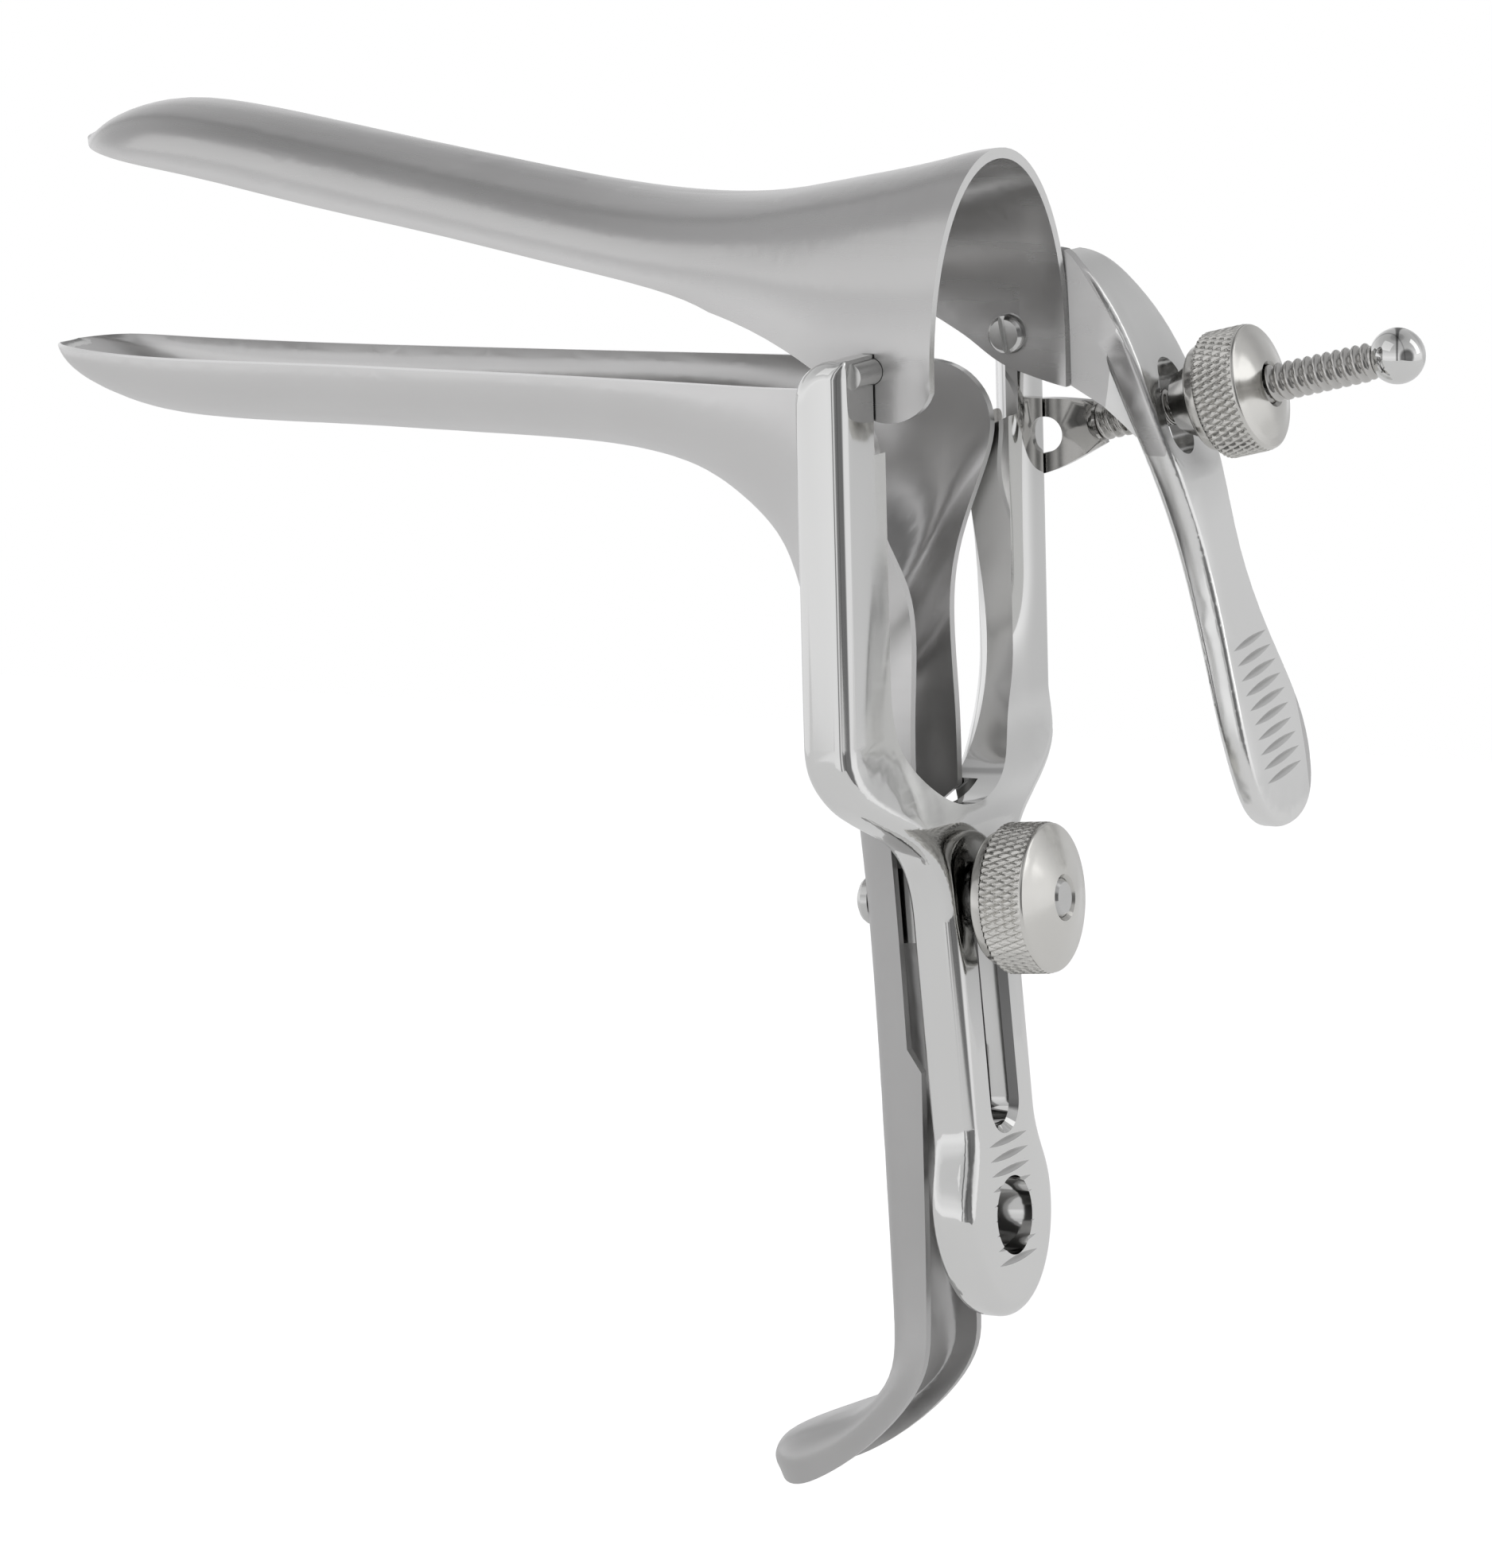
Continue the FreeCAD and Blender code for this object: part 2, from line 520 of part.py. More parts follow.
# Thumb lever: a bar cut from a side profile and a leaning front outline.
def lever_middle(level):
    return size("lever_middle") + max(0.0, size("lever_lean_from") - level) * size("lever_lean")


def make_lever():
    low, high = 0.0, 60.0
    stations = [[size(f"lever_{station}_{word}") for word in lever_words] for station in lever_stations]
    tip_level, tip_rear = size("lever_tip_level"), size("lever_tip_rear")
    rear = [(x, low, z) for z, x, _, _ in stations] + [(tip_rear, low, tip_level)]
    front = []
    total = len(rear) - 1
    for place, (x, y, z) in enumerate(rear):
        before, after = rear[max(place - 1, 0)], rear[min(place + 1, total)]
        run = Vector(after[0] - before[0], 0, after[2] - before[2]).normalize()
        square = Vector(run.z, 0, -run.x)
        depth = size("lever_depth") + (size("lever_end_depth") - size("lever_depth")) * place / total
        point = Vector(x, low, z) + square * depth
        front.append((point.x, low, point.z))
    side = face_of([spline(rear), line(rear[-1], front[-1]), spline(front), line(front[0], rear[0])])
    side = side.extrude(Vector(0, high, 0))
    left = [(0, lever_middle(z) - half, z) for z, _, half, _ in stations]
    right = [(0, lever_middle(z) + half, z) for z, _, _, half in stations]
    tip = (0, lever_middle(tip_level), tip_level)
    rest_left, rest_right = left[-1], right[-1]
    outline = face_of([
        spline(left), spline(right), line(left[0], right[0]),
        spline([rest_left, tip], (0, 0.35, -1), (0, 1, 0)), spline([rest_right, tip], (0, -0.1, -1), (0, -1, 0))])
    outline = outline.extrude(Vector(high, 0, 0))
    return solid_of(side.common(outline))


def make_lower_blade():
    shell = blade_shell("lower", lower_stations)
    top, bottom = size("relief_top"), size("relief_bottom")
    slope = size("relief_slope")
    behind = size("handle_rear")
    relief = profile_xz([(behind, top + slope), (size("lower_stem_high_rim_x"), top + slope),
                         (size("relief_front_top"), top - slope), (size("relief_front_bottom"), bottom + slope),
                         (size("lower_stem_low_rim_x"), bottom - slope), (behind, bottom - slope)],
                        size("prong_outer"))
    hole = cylinder(on_handle(0, -20), handle_out, size("stud_radius"), 20)
    return solid_of(shell.cut([relief, hole]))


ear_edges = {
    -1: [(-26.0, 0.5), (-18.0, 0.2), (-11.0, -0.9), (-5.0, -2.8), (-0.5, -5.0), (2.8, -5.5), (5.8, -4.2), (7.9, -0.6)],
    1: [(-26.0, 0.5), (-18.0, 0.3), (-10.4, 0.0), (-7.8, -0.8), (-4.7, -1.9), (-1.9, -3.1), (0.6, -3.8), (3.0, -4.0),
        (5.0, -4.1), (8.8, -4.2)],
}


def ear_trim(side):
    """What is cut away below the edge of one ear, in the closed frame."""
    reach = side * size("prong_outer")
    low = -30.0
    edge = ear_edges[side]
    edge_curve = spline([(x, 0, z) for x, z in edge])
    first, last = edge[0], edge[-1]
    behind = last[0] + 6
    outline = face_of([edge_curve, line((last[0], 0, last[1]), (behind, 0, last[1])),
                       line((behind, 0, last[1]), (behind, 0, low)),
                       line((behind, 0, low), (first[0], 0, low)),
                       line((first[0], 0, low), (first[0], 0, first[1]))])
    return outline.extrude(Vector(0, reach, 0))


def lever_root():
    """The sheet between the far ear and the lever: a plan outline cut to its side view."""
    wall = size("lever_root_wall")
    ear = size("upper_mouth_half") - size("blade_wall")
    plan = [(0.0, ear), (3.0, ear + 0.1), (8.0, ear + 1.6), (13.0, ear + 3.3), (19.5, ear + 3.6)]
    low, high = -16.0, 32.0
    inner = spline([(x, y, low) for x, y in plan])
    outer = spline([(x, y + wall, low) for x, y in plan])
    first, last = plan[0], plan[-1]
    sheet_plan = face_of([inner, outer, line((first[0], first[1], low), (first[0], first[1] + wall, low)),
                          line((last[0], last[1], low), (last[0], last[1] + wall, low))])
    side = [(1.7, 9.4), (6.4, 10.3), (7.3, 10.1), (8.0, 9.4), (8.9, 8.0), (11.0, 4.0), (13.0, 0.2), (15.2, -4.0),
            (17.0, -8.0), (18.2, -12.0), (14.6, -12.6), (10.9, -8.8), (7.4, -6.2), (3.6, -5.0), (1.7, -4.6)]
    sheet = sheet_plan.extrude(Vector(0, 0, high)).common(profile_xz(side, 3 * wall, ear + 2 * wall))
    sheet.rotate(Vector(0, ear, 0), Vector(1, 0, 0), size("lever_root_lean"))
    return sheet


def make_upper_blade():
    shell = blade_shell("upper", upper_stations)
    ear_outer = recess_inner - size("side_gap")
    reach = 140.0
    between = Part.makeBox(2 * reach, 2 * ear_outer, reach, Vector(-reach, -ear_outer, -reach / 2))
    shell = solid_of(shell.common(between).cut([ear_trim(1), ear_trim(-1)]))
    shell.rotate(Vector(0, 0, 0), across, size("opening_angle"))
    lever = make_lever()
    long_edges = [edge for edge in lever.Edges if edge.Length > 15]
    lever = lever.makeFillet(size("lever_round"), long_edges)
    blade = shell.fuse([lever_root(), lever], join_tolerance)
    rod_seat = size("rod_seat")
    half = size("lever_slot_width") / 2
    reach_along = size("lever_slot_length") / 2 - half
    rod_up = rod_out.cross(across)
    ear_inner = ear_outer - size("blade_wall")
    cutters = [cylinder(Vector(0, -ear_outer - 1, 0), across, pivot_hole_radius, 2 * ear_outer + 2),
               cylinder(Vector(0, -ear_inner, 0), across, size("pivot_head_radius") + size("side_gap"), 2 * ear_inner)]
    for end in (reach_along, -reach_along):
        cutters.append(cylinder(on_rod(rod_seat - 12) + rod_up * end, rod_out, half, 24))
    box = Part.makeBox(24, 2 * half, 2 * reach_along)
    box.Placement = FreeCAD.Placement(on_rod(rod_seat - 12) - rod_up * reach_along - across * half,
                                      FreeCAD.Rotation(across, -size("rod_angle")))
    cutters.append(box)
    cutters.append(dish(on_rod(rod_seat), rod_out, size("lever_seat_radius"), size("lever_seat_depth")))
    for place in range(int(size("lever_groove_count"))):
        level = size("lever_groove_first") - place * size("groove_pitch")
        cutters.append(groove_cutter(*lever_surface(level)))
    return solid_of(blade.cut(cutters))


def lever_surface(level):
    """A point on the middle of the lever's rear face at a level, with the directions along and out of it."""
    stations = [[size(f"lever_{station}_{word}") for word in lever_words] for station in lever_stations]
    stations.append([size("lever_tip_level"), size("lever_tip_rear"), 0, 0])
    for (top, top_rear, _, _), (foot, foot_rear, _, _) in zip(stations, stations[1:]):
        if foot <= level <= top:
            share = (top - level) / (top - foot)
            rear = top_rear + (foot_rear - top_rear) * share
            fall = Vector(foot_rear - top_rear, 0, foot - top).normalize()
    lean = size("lever_lean")
    along = (fall + across * lean * abs(fall.z)).normalize()
    outward = across.cross(along).normalize() * -1
    if outward.x < 0:
        outward = outward * -1
    return Vector(rear, lever_middle(level), level), along, outward


def pivot_pin(side):
    ear_inner = recess_inner - size("side_gap") - size("blade_wall")
    head_face = ear_inner - size("running_gap")
    height, radius = size("pivot_head_height"), size("pivot_head_radius")
    head = turned([(0, radius - 0.5), (0.35 * height, radius - 0.12), (0.75 * height, radius), (height, radius)],
                  Vector(0, side * (head_face - height), 0), across * side)
    shank = cylinder(Vector(0, side * (head_face - height / 2), 0), across * side, size("pivot_radius"),
                     recess_inner + size("pivot_depth") - head_face + height / 2)
    slot = Part.makeBox(2 * radius + 1, 0.5 * height, 0.8, Vector(-radius - 0.5, -0.25 * height, -0.4))
    slot.Placement = FreeCAD.Placement(Vector(0, side * (head_face - 0.75 * height), 0),
                                       FreeCAD.Rotation(across, 80))
    return solid_of(head.fuse(shank).cut(slot))


def make_screw_rod():
    thickness = size("eye_thickness")
    half, front, neck = size("eye_half"), size("eye_front"), size("eye_neck_half")
    start = size("thread_start")
    top = [(-front, 0, 0), (-0.72 * front, 0, 0.72 * half), (0, 0, 0.98 * half), (0.3 * start, 0, half),
           (0.7 * start, 0, 0.8 * half), (start, 0, neck)]
    foot = [(x, y, -z) for x, y, z in top]
    plate = face_of([spline(top), spline(foot), line(top[-1], foot[-1])])
    plate = plate.extrude(across * thickness)
    plate.translate(across * -thickness / 2)
    hole_radius = size("anchor_radius") + size("running_gap")
    ends = [cylinder(Vector(x, -thickness, 0), across, hole_radius, 2 * thickness)
            for x in (size("eye_slot_front"), size("eye_slot_rear"))]
    middle = Part.makeBox(size("eye_slot_rear") - size("eye_slot_front"), 2 * thickness, 2 * hole_radius,
                          Vector(size("eye_slot_front"), -thickness, -hole_radius))
    plate = plate.cut(ends + [middle])
    radius, neck_radius = size("rod_radius"), size("ball_neck_radius")
    thread_end = size("rod_length")
    shaft = turned([(start - 1.2, radius - 0.7), (start - 0.2, radius), (thread_end - 0.5, radius),
                    (thread_end, radius - 0.4)], Vector(0, 0, 0), Vector(1, 0, 0))
    tenon = cylinder(Vector(thread_end - 1, 0, 0), Vector(1, 0, 0), neck_radius,
                     size("ball_step") + 0.2)
    rod = solid_of(plate.fuse([shaft, tenon]))
    rod.Placement = FreeCAD.Placement(on_rod(0), FreeCAD.Rotation(across, -size("rod_angle")))
    return rod


def make_ball():
    centre = size("rod_length") + size("ball_step")
    ball = Part.makeSphere(size("ball_radius"), on_rod(centre))
    flat = cylinder(on_rod(centre - 2 * size("ball_radius")), rod_out, 2 * size("ball_radius"),
                    2 * size("ball_radius") - size("ball_flat"))
    bore = cylinder(on_rod(centre - size("ball_radius") - 1), rod_out, size("ball_neck_radius"),
                    size("ball_radius") + 0.2)
    return solid_of(ball.cut([flat, bore]))


def knurled_nut(words, start, direction, bore):
    front, collar, knurl, rear = (size(f"{words}_{word}") for word in ("front", "collar", "knurl", "rear"))
    tip, hub, ring, body = (size(f"{words}_{word}radius") for word in ("tip_", "hub_", "collar_", ""))
    soft = 0.25
    round_edge = size("nut_edge_round")
    crown, chamfer = size("nut_crown"), size("bore_chamfer")
    outline = [(front, tip), (collar, hub), (collar, ring - soft), (collar + soft, ring), (knurl - soft, ring),
               (knurl, ring - soft), (knurl, body - soft), (knurl + soft, body), (rear - round_edge, body),
               (rear - 0.3 * round_edge, body - 0.3 * round_edge), (rear, body - round_edge),
               (rear + 0.55 * crown, 0.6 * body), (rear + 0.9 * crown, 0.4 * body), (rear + crown, bore + chamfer)]
    nut = turned(outline, start, direction)
    hole = cylinder(start + direction * (front - 1), direction, bore, rear + crown - front + 2)
    mouth = Part.makeCone(bore, bore + 2 * chamfer, 2 * chamfer, start + direction * (rear + crown - chamfer), direction)
    return solid_of(nut.cut([hole, mouth]))


def make_anchor_pin():
    outer = eye_inner + size("eye_thickness") + size("running_gap")
    radius, height = size("anchor_head_radius"), size("anchor_head_height")
    start = eye_seat - size("anchor_depth")
    shank = cylinder(anchor_point + across * start, across, size("anchor_radius"), outer - start + height / 2)
    head = turned([(0, radius), (0.4 * height, radius), (0.8 * height, radius - 0.35), (height, radius - 1.1)],
                  anchor_point + across * outer, across)
    return solid_of(shank.fuse(head))


def make_stud_and_block(blade):
    """The stud is riveted through the stem; the block under it bears on the handle's wall."""
    radius = size("stud_radius")
    rear = size("slide_nut_rear") + size("nut_crown")
    chamfer = size("bore_chamfer")
    crown = -(stud_point.x - size("lower_stem_high_crown_x")) / math.cos(tilt)
    shank = turned([(crown, radius), (rear - chamfer, radius), (rear, radius - chamfer)], on_handle(0), handle_out)
    head_height, head_radius = size("stud_head_height"), size("stud_head_radius")
    head = turned([(-head_height, head_radius - 1.0), (-0.6 * head_height, head_radius - 0.3),
                   (-0.2 * head_height, head_radius), (0.6 * head_height, head_radius)],
                  on_handle(0, crown), handle_out)
    stud = shank.fuse(head.cut(blade))
    stud = max(stud.Solids, key=lambda solid: solid.Volume)
    half, height = size("block_half"), size("block_height")
    inside = crown + 0.5 * size("blade_wall")
    face = -size("handle_wall") - size("side_gap")
    block = Part.makeBox(face - inside, 2 * half, height)
    block.Placement = FreeCAD.Placement(on_handle(height / 2, inside, -half), FreeCAD.Rotation(across, -size("handle_tilt")))
    boss = cylinder(on_handle(0, face - 1), handle_out, size("slot_width") / 2 - size("running_gap"),
                    1 + size("handle_wall") - size("side_gap"))
    bore = cylinder(on_handle(0, crown - 1), handle_out, radius, 40)
    block = block.fuse(boss).cut(bore).cut(blade)
    return stud, max(block.Solids, key=lambda solid: solid.Volume)


lower_blade = make_lower_blade()
stud, block = make_stud_and_block(lower_blade)
nodes = {
    "yoke": make_yoke(),
    "upper_blade": make_upper_blade(),
    "lower_blade": lower_blade,
    "near_pivot_screw": pivot_pin(-1),
    "far_pivot_screw": pivot_pin(1),
    "adjusting_screw": make_screw_rod(),
    "screw_end_ball": make_ball(),
    "anchor_pin": make_anchor_pin(),
    "adjusting_nut": knurled_nut("rod_nut", on_rod(0), rod_out, size("rod_radius") + size("running_gap")),
    "slide_stud": stud,
    "slide_block": block,
    "slide_nut": knurled_nut("slide_nut", on_handle(0), handle_out, size("stud_radius") + size("running_gap")),
}
for label, shape in nodes.items():
    feature(label, shape)
doc.recompute()

for item in doc.Objects:
    assert not {"Invalid", "Error"} & set(item.State), f"{item.Label} failed"
os.makedirs("parts", exist_ok=True)
for label in nodes:
    shape = doc.getObjectsByLabel(label)[0].Shape
    assert not shape.isNull() and shape.isValid(), f"{label} is not a sound shape"
    shape.exportStep(f"parts/{label}.step")
    print(label, len(shape.Solids), round(shape.Volume, 1), shape.BoundBox)
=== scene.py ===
import bpy
import bmesh
import math
import numpy as np
from mathutils import Matrix, Vector


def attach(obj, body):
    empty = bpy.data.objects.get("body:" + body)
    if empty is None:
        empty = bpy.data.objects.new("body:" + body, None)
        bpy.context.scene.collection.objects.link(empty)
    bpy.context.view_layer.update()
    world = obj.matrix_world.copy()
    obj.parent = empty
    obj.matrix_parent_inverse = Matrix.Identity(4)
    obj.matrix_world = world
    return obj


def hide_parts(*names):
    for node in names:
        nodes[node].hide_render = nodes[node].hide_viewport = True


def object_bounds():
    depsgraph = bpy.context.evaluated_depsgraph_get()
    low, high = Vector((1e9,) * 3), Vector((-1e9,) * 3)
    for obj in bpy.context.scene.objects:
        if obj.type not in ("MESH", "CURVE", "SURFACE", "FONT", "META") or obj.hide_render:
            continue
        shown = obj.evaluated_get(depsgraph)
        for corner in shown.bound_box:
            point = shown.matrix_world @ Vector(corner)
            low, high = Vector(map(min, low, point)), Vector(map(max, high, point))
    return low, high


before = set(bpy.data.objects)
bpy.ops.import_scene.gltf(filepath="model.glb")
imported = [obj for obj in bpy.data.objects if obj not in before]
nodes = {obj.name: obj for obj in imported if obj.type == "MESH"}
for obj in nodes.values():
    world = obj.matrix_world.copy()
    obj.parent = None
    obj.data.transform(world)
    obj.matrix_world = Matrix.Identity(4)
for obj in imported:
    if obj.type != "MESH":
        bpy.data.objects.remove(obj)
cad_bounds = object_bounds()
MM = 0.001

# Places and sizes of the pieces made here, in millimetres, in the object's own frame
ROD_START = Vector((-4.4, 27.82, -14.36))
ROD_ANGLE = math.radians(13.4)
ROD_OUT = Vector((math.cos(ROD_ANGLE), 0, math.sin(ROD_ANGLE)))
ROD_RADIUS = 2.3
THREAD_START = 11.8
THREAD_END = 49.0
THREAD_PITCH = 1.27
THREAD_DEPTH = 0.5

HANDLE_TILT = math.radians(4.26)
HANDLE_OUT = Vector((math.cos(HANDLE_TILT), 0, math.sin(HANDLE_TILT)))
STUD_POINT = Vector((4.2, 0, -65.0))
STUD_RADIUS = 2.3
BORE_GAP = 0.05

ROD_NUT = {"front": 22.9, "collar": 26.4, "knurl": 28.1, "rear": 33.9, "tip": 3.4, "hub": 5.2, "ring": 6.4,
           "body": 7.7, "teeth": 52}
SLIDE_NUT = {"front": 0.1, "collar": 1.5, "knurl": 3.1, "rear": 8.9, "tip": 4.4, "hub": 6.6, "ring": 7.9,
             "body": 9.0, "teeth": 60}
NUT_ROUND = 0.7
NUT_CROWN = 1.4
BORE_CHAMFER = 0.45
HUB_CHAMFER = 0.3
COLLAR_FRONT_ROUND = 0.4
COLLAR_REAR_ROUND = 0.3
KNURL_ANGLE = math.radians(22)
KNURL_DEPTH = 0.27
KNURL_STEP = 0.11
KNURL_STEPS_ROUND = 10
FIRST_GROOVE_WIDTH = 0.62
SECOND_GROOVE_WIDTH = 0.5
SECOND_GROOVE_DEPTH = 0.75
THREAD_RUNOUT = 0.8
THREAD_STEPS = 12
AXIS_GAP = 0.02


def new_object(name, vertices, faces, smooth=True):
    mesh = bpy.data.meshes.new(name)
    mesh.from_pydata([tuple(v) for v in vertices], [], faces)
    mesh.update()
    if smooth:
        mesh.shade_smooth()
    piece = bpy.data.objects.new(name, mesh)
    bpy.context.scene.collection.objects.link(piece)
    return piece


def turned_rings(name, start, direction, rings, segments):
    """A closed ring of rings about an axis. Each ring is a pair of arrays or numbers, along and radius."""
    side = Vector((0, 1, 0))
    other = direction.cross(side)
    angles = np.linspace(0, 2 * math.pi, segments, endpoint=False)
    vertices = []
    for along, radius in rings:
        along = np.broadcast_to(np.asarray(along, float), (segments,))
        radius = np.broadcast_to(np.asarray(radius, float), (segments,))
        for a, u, r in zip(angles, along, radius):
            vertices.append((start + direction * float(u) + side * float(r * math.cos(a))
                             + other * float(r * math.sin(a))) * MM)
    count = len(rings)
    faces = []
    for ring in range(count):
        following = (ring + 1) % count
        for seg in range(segments):
            nxt = (seg + 1) % segments
            faces.append((ring * segments + seg, ring * segments + nxt,
                          following * segments + nxt, following * segments + seg))
    return new_object(name, vertices, faces)


def tidy_normals(piece, angle=32):
    mesh = bmesh.new()
    mesh.from_mesh(piece.data)
    bmesh.ops.recalc_face_normals(mesh, faces=mesh.faces)
    mesh.to_mesh(piece.data)
    mesh.free()
    piece.data.set_sharp_from_angle(angle=math.radians(angle))


def knurl_depth(angles, along, teeth, radius, depth):
    """Depth of two crossing families of grooves at a level of the rim; the first family is the deeper."""
    turn = teeth * angles / (2 * math.pi)
    lean = along * math.tan(KNURL_ANGLE) * teeth / (2 * math.pi * radius)
    first = np.abs(((turn + lean) % 1.0) - 0.5) * 2
    second = np.abs(((turn - lean) % 1.0) - 0.5) * 2
    cut_first = np.clip(1 - first / FIRST_GROOVE_WIDTH, 0, 1)
    cut_second = np.clip(1 - second / SECOND_GROOVE_WIDTH, 0, 1)
    return depth * np.maximum(cut_first, SECOND_GROOVE_DEPTH * cut_second)


def knurled_nut(name, size, start, direction, bore):
    """A nut turned about its bore: hub, collar, knurled body with round corners, and a crowned face."""
    segments = size["teeth"] * KNURL_STEPS_ROUND
    angles = np.linspace(0, 2 * math.pi, segments, endpoint=False)
    rings = []

    def arc(centre, radius, first, last, count=5):
        for k in range(count):
            a = math.radians(first + (last - first) * k / (count - 1))
            rings.append((centre[0] + radius * math.cos(a), centre[1] + radius * math.sin(a)))

    front, collar, knurl, rear = size["front"], size["collar"], size["knurl"], size["rear"]
    rings.append((front, bore))
    rings.append((front, size["tip"] - HUB_CHAMFER))
    rings.append((front + HUB_CHAMFER / 2, size["tip"]))
    rings.append((collar - 0.1, size["hub"]))
    rings.append((collar, size["hub"] + 0.15))
    rings.append((collar, size["ring"] - 0.6))
    arc((collar + COLLAR_FRONT_ROUND, size["ring"] - COLLAR_FRONT_ROUND), COLLAR_FRONT_ROUND, 180, 90)
    arc((knurl - COLLAR_REAR_ROUND, size["ring"] - COLLAR_REAR_ROUND), COLLAR_REAR_ROUND, 90, 0, 4)
    rings.append((knurl, size["ring"] - 0.1))
    rings.append((knurl, size["body"] - 0.5))
    corner = NUT_ROUND * 0.6
    rows = int((rear - knurl) / KNURL_STEP)
    for row in range(rows + 1):
        along = knurl + (rear - corner - knurl) * row / rows
        from_front = min(1.0, (along - knurl) / 0.35)
        to_rear = min(1.0, (rear - corner - along) / 0.45)
        cut = knurl_depth(angles, along, size["teeth"], size["body"], KNURL_DEPTH)
        base = size["body"] - 0.35 * (1 - from_front) - 0.12 * (1 - to_rear)
        rings.append((along, base - cut * max(0.0, to_rear) ** 0.5))
    arc((rear - corner, size["body"] - 0.12 - corner), corner, 85, 15, 5)
    top, crest = size["body"] - NUT_ROUND, bore + BORE_CHAMFER
    for k in range(1, 10):
        share = k / 9
        radius = top + (crest - top) * share
        rise = NUT_CROWN * (1 - (radius - crest) ** 2 / (top - crest) ** 2) if share < 1 else NUT_CROWN
        rings.append((rear + rise * (0.55 + 0.45 * share), radius))
    rings.append((rear + NUT_CROWN - BORE_CHAMFER, bore))
    piece = turned_rings(name, start, direction, rings, segments)
    tidy_normals(piece, 40)
    return piece


def threaded_rod(name, start, direction, first, last, radius, pitch, depth):
    """A rod with a helical thread of round crests that runs out at both ends."""
    segments = 64
    angles = np.linspace(0, 2 * math.pi, segments, endpoint=False)
    step = pitch / THREAD_STEPS
    count = int((last - first) / step)
    rings = [(first, AXIS_GAP), (first, radius - depth)]
    for k in range(1, count):
        along = first + k * step
        phase = (along / pitch - angles / (2 * math.pi)) % 1.0
        wave = 0.5 - 0.5 * np.cos(2 * math.pi * phase)
        crest = np.minimum(1.0, wave ** 0.75 * 1.08)
        ends = min(1.0, (along - first) / THREAD_RUNOUT, (last - along) / THREAD_RUNOUT)
        rings.append((along, radius - depth + depth * crest * ends))
    rings.append((last, radius - depth))
    rings.append((last, AXIS_GAP))
    piece = turned_rings(name, start, direction, rings, segments)
    tidy_normals(piece, 60)
    return piece


def cut_copy(name, node, point, direction):
    """A copy of a node's mesh, cut by a plane and closed there; what lies beyond the plane goes."""
    mesh = bmesh.new()
    mesh.from_mesh(nodes[node].data)
    bmesh.ops.remove_doubles(mesh, verts=mesh.verts, dist=1e-6)
    cut = bmesh.ops.bisect_plane(mesh, geom=mesh.verts[:] + mesh.edges[:] + mesh.faces[:], plane_co=point,
                                 plane_no=direction, clear_outer=True)
    edges = [item for item in cut["geom_cut"] if isinstance(item, bmesh.types.BMEdge)]
    bmesh.ops.holes_fill(mesh, edges=edges)
    bmesh.ops.recalc_face_normals(mesh, faces=mesh.faces)
    data = bpy.data.meshes.new(name)
    mesh.to_mesh(data)
    mesh.free()
    data.materials.clear()
    data.shade_smooth()
    data.set_sharp_from_angle(angle=math.radians(30))
    piece = bpy.data.objects.new(name, data)
    bpy.context.scene.collection.objects.link(piece)
    return piece


def smooth_node(piece, angle=30):
    """Gives a node corner normals that are shared across its smooth edges, without moving a vertex."""
    mesh = piece.data
    count = len(mesh.vertices)
    places = np.zeros(count * 3)
    mesh.vertices.foreach_get("co", places)
    keys = np.round(places.reshape(-1, 3) * 1e7).astype(np.int64)
    _, merged = np.unique(keys, axis=0, return_inverse=True)
    merged = merged.ravel()
    corners = np.zeros(len(mesh.loops), int)
    mesh.loops.foreach_get("vertex_index", corners)
    faces = len(mesh.polygons)
    face_normals = np.zeros(faces * 3)
    mesh.polygons.foreach_get("normal", face_normals)
    face_normals = face_normals.reshape(-1, 3)
    corner_face = np.repeat(np.arange(faces), 3)
    where = merged[corners]
    points = places.reshape(-1, 3)[corners].reshape(-1, 3, 3)
    weights = np.zeros((faces, 3))
    for k in range(3):
        one = points[:, (k + 1) % 3] - points[:, k]
        two = points[:, (k + 2) % 3] - points[:, k]
        size = np.linalg.norm(one, axis=1) * np.linalg.norm(two, axis=1) + 1e-20
        weights[:, k] = np.arccos(np.clip(np.sum(one * two, axis=1) / size, -1, 1))
    weights = weights.ravel()
    order = np.argsort(where, kind="stable")
    starts = np.searchsorted(where[order], np.arange(where.max() + 2))
    limit = math.cos(math.radians(angle))
    normals = np.zeros((len(corners), 3))
    for place in range(len(starts) - 1):
        group = order[starts[place]:starts[place + 1]]
        if not len(group):
            continue
        directions = face_normals[corner_face[group]]
        alike = (directions @ directions.T) > limit
        total = (alike * weights[group][None, :]) @ directions
        normals[group] = total / (np.linalg.norm(total, axis=1, keepdims=True) + 1e-20)
    mesh.shade_smooth()
    mesh.normals_split_custom_set([tuple(n) for n in normals])


# Materials
# The polished faces' lighter tone, partly a painted highlight, how far painted shade reaches into hollows, and the
# levels below which painted shade darkens the lower blade
RIM_SHEEN_TONE = (0.84, 0.84, 0.83, 1)
RIM_ROUGHNESS = 0.2
HOLLOW_SHADE_REACH = 0.009
STEM_LEVELS = (-55, -30)


def math_node(tree, operation, first, second, clamp=False):
    """A maths node; each input is a socket or a number."""
    node = tree.nodes.new("ShaderNodeMath")
    node.operation = operation
    node.use_clamp = clamp
    for socket, value in zip(node.inputs, (first, second)):
        if isinstance(value, (int, float)):
            socket.default_value = value
        else:
            tree.links.new(value, socket)
    return node.outputs["Value"]


def along_axis(tree, vector, axis):
    """The part of a vector socket along a fixed direction."""
    node = tree.nodes.new("ShaderNodeVectorMath")
    node.operation = "DOT_PRODUCT"
    node.inputs[1].default_value = axis
    tree.links.new(vector, node.inputs[0])
    return node.outputs["Value"]


